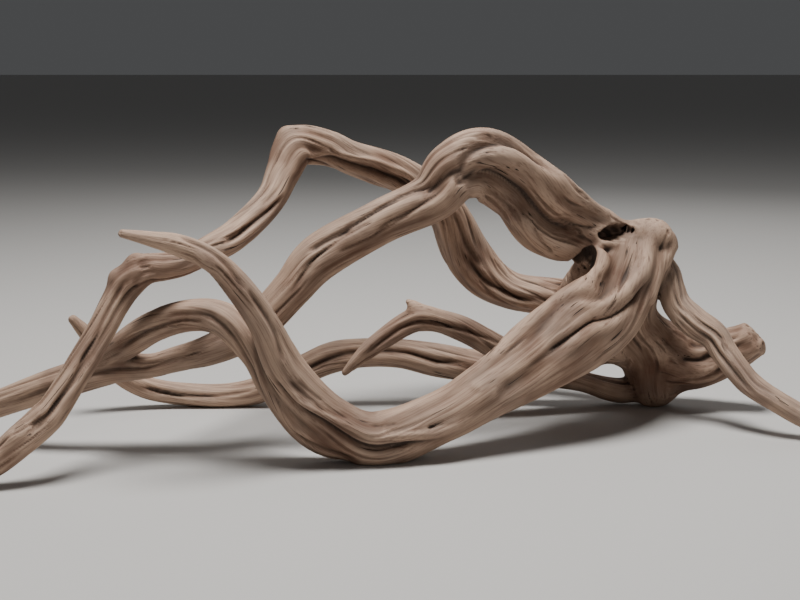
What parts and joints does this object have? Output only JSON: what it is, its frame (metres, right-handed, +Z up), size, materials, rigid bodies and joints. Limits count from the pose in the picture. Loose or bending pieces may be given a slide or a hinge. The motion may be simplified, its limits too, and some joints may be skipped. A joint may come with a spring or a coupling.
{
  "type": "driftwood branch",
  "caption": "Weathered driftwood branch: a gnarled burl from which twisted, furrowed limbs arch and sweep out to tapered feet and tips, resting on its bends.",
  "frame": {"origin": "middle of the bounding box on the surface that the branch rests on", "axes": "+X along the branch from its long thin feet to the burl end, +Y to the back, +Z up"},
  "size_m": [0.7614, 0.304, 0.2467],
  "materials": {
    "weathered_wood": "bare weathered root wood, matte, with fine long grain and dark drying cracks",
    "burl_wood": "bare weathered burl, matte, gnarled, with a dark hollow",
    "grey_wood": "bare weathered root wood, matte, greyer and rougher"
  },
  "bodies": {
    "root": {"crown": "burl_wood", "front_sweep": "weathered_wood", "upper_arch": "weathered_wood", "side_strand": "weathered_wood", "back_arch": "weathered_wood", "low_runner": "weathered_wood", "spur": "weathered_wood", "stump": "weathered_wood", "right_leg": "grey_wood"}
  },
  "joints": []
}
